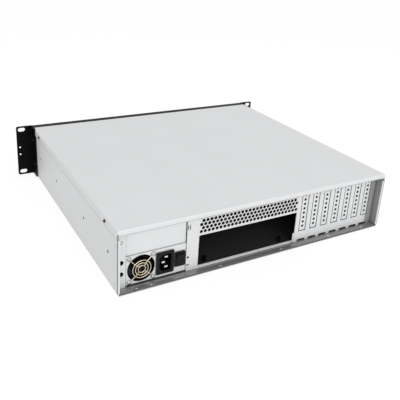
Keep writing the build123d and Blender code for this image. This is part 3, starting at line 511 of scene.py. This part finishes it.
# pan head screws: the axis they run along, then diameter and height of the head and length of the shaft in mm
screwLook = {
    "cover_screws": {"axis": 0, "head": 4.2, "height": 1.5, "length": 3.4, "slot": "black_screw"},
    "ear_screws": {"axis": 0, "head": 5.6, "height": 1.9, "length": 4.2, "slot": "black_screw"},
    "slot_screws": {"axis": 2, "head": 5.6, "height": 1.9, "length": 4.5, "slot": "screw_steel"},
    "psu_fan_screws": {"axis": 1, "head": 4.6, "height": 1.6, "length": 8.0, "slot": "screw_steel"},
}
panHead = {
    "shaft": 2.9,        # diameter, mm
    "segments": 28,
    "rings": 14,
    "shoulder": 0.5,     # under 1 makes the dome's shoulder fuller
    "barSpan": 1.1,      # bars that cut the cross, as shares of the head's radius and height
    "barWidth": 0.24,
    "barDepth": 1.3,
    "shaftSides": 20,
    "turnStep": 0.7,     # radians, so that each cross stops at its own turn
}


def screwSeeds(name, axis, headHeight):
    # a screw in the CAD runs along one axis, and its head is the end that faces outwards
    seeds = []
    for i, (low, high) in enumerate(sorted(solidBoxes(name), key=lambda box: tuple(box[0]))):
        middle = (low + high) / 2
        outward = outwardAlong(axis, middle)
        seat = middle.copy()
        seat[axis] = (high[axis] if outward[axis] > 0 else low[axis]) - outward[axis] * headHeight * mm
        seeds.append((seat, outward, panHead["turnStep"] * i * i))
    return seeds


def panHeadTree():
    # a pressed ball with a cross cut into it, on a plain shaft
    tree, given = newTree("panHeadScrew", ("headRadius", "headHeight", "shaftRadius", "shaftLength"))
    head = pressedBall(tree, panHead, given["headRadius"], given["headHeight"])
    span = calc(tree, "MULTIPLY", given["headRadius"], panHead["barSpan"])
    wide = calc(tree, "MULTIPLY", given["headRadius"], panHead["barWidth"])
    deep = calc(tree, "MULTIPLY", given["headHeight"], panHead["barDepth"])
    lift = xyz(tree, z=given["headHeight"])
    cut = addNode(tree, "GeometryNodeMeshBoolean", {0: head}, operation="DIFFERENCE", solver="EXACT")
    for length, width in ((span, wide), (wide, span)):
        bar = addNode(tree, "GeometryNodeMeshCube", {"Size": xyz(tree, length, width, deep)}).outputs[0]
        tree.links.new(moved(tree, bar, lift), cut.inputs[1])
    rod = addNode(tree, "GeometryNodeMeshCylinder", {
        "Vertices": panHead["shaftSides"], "Radius": given["shaftRadius"], "Depth": given["shaftLength"]})
    drop = xyz(tree, z=calc(tree, "MULTIPLY", given["shaftLength"], -0.5))
    shaft = moved(tree, rod.outputs[0], drop)
    return plantShape(tree, given, joined(tree, cut.outputs[0], shaft))


def makeScrews():
    tree = panHeadTree()
    for name, look in screwLook.items():
        sizes = {"headRadius": look["head"] / 2 * mm, "headHeight": look["height"] * mm,
                 "shaftRadius": panHead["shaft"] / 2 * mm, "shaftLength": look["length"] * mm}
        seeds = screwSeeds(name, look["axis"], look["height"])
        growPiece("dressed_" + name, tree, seeds, sizes, look["slot"], stands=(name,))


# fan guard: wire rings on bowed legs, each leg with an eye under its screw; lengths in mm
guardLook = {
    "wire": 1.2,        # diameter
    "firstRing": 4.8,   # radius
    "ringPitch": 3.6,
    "rings": 3,
    "stand": 2.2,       # middle of the rings above the power supply
    "legs": 4,
    "legStart": 4.3,
    "legBow": 1.8,      # how far the middle of a leg bows sideways
    "bowPlace": 0.55,   # where it does so, as a share of the way to the eye
    "eyeReach": 22.6,
    "eye": 1.95,        # radius of the eye's wire middle
    "ringPoints": 72,
    "legPoints": 14,
    "eyePoints": 24,
    "wireSides": 12,
}


def guardTree():
    lengths = ("wireRadius", "firstRing", "ringPitch", "stand", "legStart", "legBow", "eyeReach", "eye")
    tree, given = newTree("wireGuard", lengths, counts=("rings",))
    number = addNode(tree, "GeometryNodeInputIndex").outputs[0]
    ringSeeds = addNode(tree, "GeometryNodeMeshLine", {"Count": given["rings"], "Offset": (0, 0, 0)})
    rings = addNode(tree, "GeometryNodeInstanceOnPoints", {
        "Points": ringSeeds.outputs[0],
        "Instance": circle(tree, guardLook["ringPoints"], 1.0),
        "Scale": calc(tree, "MULTIPLY_ADD", number, given["ringPitch"], given["firstRing"]),
    })
    raised = moved(tree, rings.outputs[0], xyz(tree, z=given["stand"]))
    low = calc(tree, "SUBTRACT", given["stand"], given["wireRadius"])
    bowAt = calc(tree, "MULTIPLY", given["eyeReach"], guardLook["bowPlace"])
    rim = calc(tree, "SUBTRACT", given["eyeReach"], given["eye"])
    leg = addNode(tree, "GeometryNodeCurveQuadraticBezier", {
        "Resolution": guardLook["legPoints"],
        "Start": xyz(tree, given["legStart"], z=low),
        "Middle": xyz(tree, bowAt, given["legBow"], low),
        "End": xyz(tree, rim, z=given["wireRadius"]),
    })
    loop = circle(tree, guardLook["eyePoints"], given["eye"])
    eye = moved(tree, loop, xyz(tree, given["eyeReach"], z=given["wireRadius"]))
    legSeeds = addNode(tree, "GeometryNodeMeshLine", {"Count": guardLook["legs"], "Offset": (0, 0, 0)})
    turn = 2 * math.pi / guardLook["legs"]
    legs = addNode(tree, "GeometryNodeInstanceOnPoints", {
        "Points": legSeeds.outputs[0],
        "Instance": joined(tree, leg.outputs[0], eye),
        "Rotation": xyz(tree, z=calc(tree, "MULTIPLY_ADD", number, turn, turn / 2)),
    })
    lines = joined(tree, raised, legs.outputs[0])
    loose = addNode(tree, "GeometryNodeRealizeInstances", {"Geometry": lines}).outputs[0]
    return plantShape(tree, given, tube(tree, loose, guardLook["wireSides"], given["wireRadius"]))


def makeGuard():
    low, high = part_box("psu_fan_guard")
    middle = (low + high) / 2
    middle.y = low.y   # the face that the guard's feet stand on
    sizes = {"wireRadius": guardLook["wire"] / 2 * mm, "rings": guardLook["rings"]}
    for key in ("firstRing", "ringPitch", "stand", "legStart", "legBow", "eyeReach", "eye"):
        sizes[key] = guardLook[key] * mm
    seeds = [(middle, (0, 1, 0), 0.0)]
    growPiece("wire_guard", guardTree(), seeds, sizes, "guard_wire", stands=("psu_fan_guard",))


rayStart = 20 * mm     # how far outside a surface the search for it starts


def surfaceSearch(name):
    mesh = nodes[name].data
    return BVHTree.FromPolygons([v.co for v in mesh.vertices], [tuple(p.vertices) for p in mesh.polygons])


# rivets: low domes on the wrapped edges and along the rear ledge
rivetLook = {
    "hem": {"radius": 1.5, "height": 0.5, "slot": "screw_steel", "axis": 0,
            "places": [(side * 215.0, 193.6, z) for side in (-1, 1) for z in (66.0, 14.0)]},
    "ledge": {"radius": 2.3, "height": 0.8, "slot": "screw_steel", "axis": 2,
              "places": [(x, 194.6, 2.4) for x in (188, 168, 68, -32, -120, -186)]},
}
rivetDome = {"segments": 20, "rings": 10, "shoulder": 1.0}


def rivetTree():
    tree, given = newTree("domeRivet", ("radius", "height"))
    return plantShape(tree, given, pressedBall(tree, rivetDome, given["radius"], given["height"]))


def makeRivets():
    tree = rivetTree()
    search = surfaceSearch("rear_panel")
    for name, look in rivetLook.items():
        seeds = []
        for place in look["places"]:
            place = Vector(place) * mm
            outward = outwardAlong(look["axis"], place)
            hit = search.ray_cast(place + outward * rayStart, -outward)[0]
            if hit:
                seeds.append((hit, outward, 0.0))
        sizes = {"radius": look["radius"] * mm, "height": look["height"] * mm}
        growPiece(name + "_rivets", tree, seeds, sizes, look["slot"])


# an earthing tab folded up beside the aperture
tabLook = {"width": 2.6, "depth": 0.8, "height": 15.0, "place": (-57.4, 188.4, 9.9)}


def tabTree():
    tree, given = newTree("foldedTab", ("width", "depth", "height"))
    size = xyz(tree, given["width"], given["height"], given["depth"])
    block = addNode(tree, "GeometryNodeMeshCube", {"Size": size})
    return plantShape(tree, given, block.outputs[0])


def makeTab():
    sizes = {key: tabLook[key] * mm for key in ("width", "depth", "height")}
    seeds = [(Vector(tabLook["place"]) * mm, (0, 1, 0), 0.0)]
    growPiece("aperture_tab", tabTree(), seeds, sizes, "zinc_steel")


# the moulded marks of the switch: a bar for on, a ring for off
markLook = {
    "wire": 0.5,        # diameter of the raised line
    "bar": 3.4,         # length
    "ring": 1.5,        # radius
    "sunk": 0.1,        # how deep the line's middle lies in the rocker
    "rise": {"bar": 4.4, "ring": -4.4},   # from the rocker's middle
    "ringPoints": 32,
    "wireSides": 8,
}


def markTree():
    tree, given = newTree("switchMark", ("wireRadius", "length", "ringRadius"), counts=("isRing",))
    top = xyz(tree, y=calc(tree, "MULTIPLY", given["length"], 0.5))
    foot = xyz(tree, y=calc(tree, "MULTIPLY", given["length"], -0.5))
    bar = addNode(tree, "GeometryNodeCurvePrimitiveLine", {"Start": foot, "End": top}).outputs[0]
    ring = circle(tree, markLook["ringPoints"], given["ringRadius"])
    choice = {"Switch": given["isRing"], "False": bar, "True": ring}
    path = addNode(tree, "GeometryNodeSwitch", choice, input_type="GEOMETRY").outputs[0]
    return plantShape(tree, given, tube(tree, path, markLook["wireSides"], given["wireRadius"]))


def makeMarks():
    tree = markTree()
    search = surfaceSearch("psu_rocker")
    low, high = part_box("psu_rocker")
    middle = (low + high) / 2
    for name, rise in markLook["rise"].items():
        start = Vector((middle.x, high.y + rayStart, middle.z + rise * mm))
        hit, normal = search.ray_cast(start, Vector((0, -1, 0)))[:2]
        if not hit:
            continue
        seeds = [(hit - normal * markLook["sunk"] * mm, normal, 0.0)]
        sizes = {"wireRadius": markLook["wire"] / 2 * mm, "length": markLook["bar"] * mm,
                 "ringRadius": markLook["ring"] * mm, "isRing": int(name == "ring")}
        growPiece("switch_" + name, tree, seeds, sizes, "black_plastic", body="psu_rocker")


finishes = {slot: makeFinish(slot, look) for slot, look in finishLooks.items()}
print("finishes made:", len(finishes))
makeCamera()
makeWorld()
makeFloor()
makeLamps()
print("camera and studio made")
dressNodes()
print("CAD nodes dressed:", len(nodes))
makeScrews()
makeGuard()
makeRivets()
makeTab()
makeMarks()
print("screws, guard, rivets, tab and marks made")
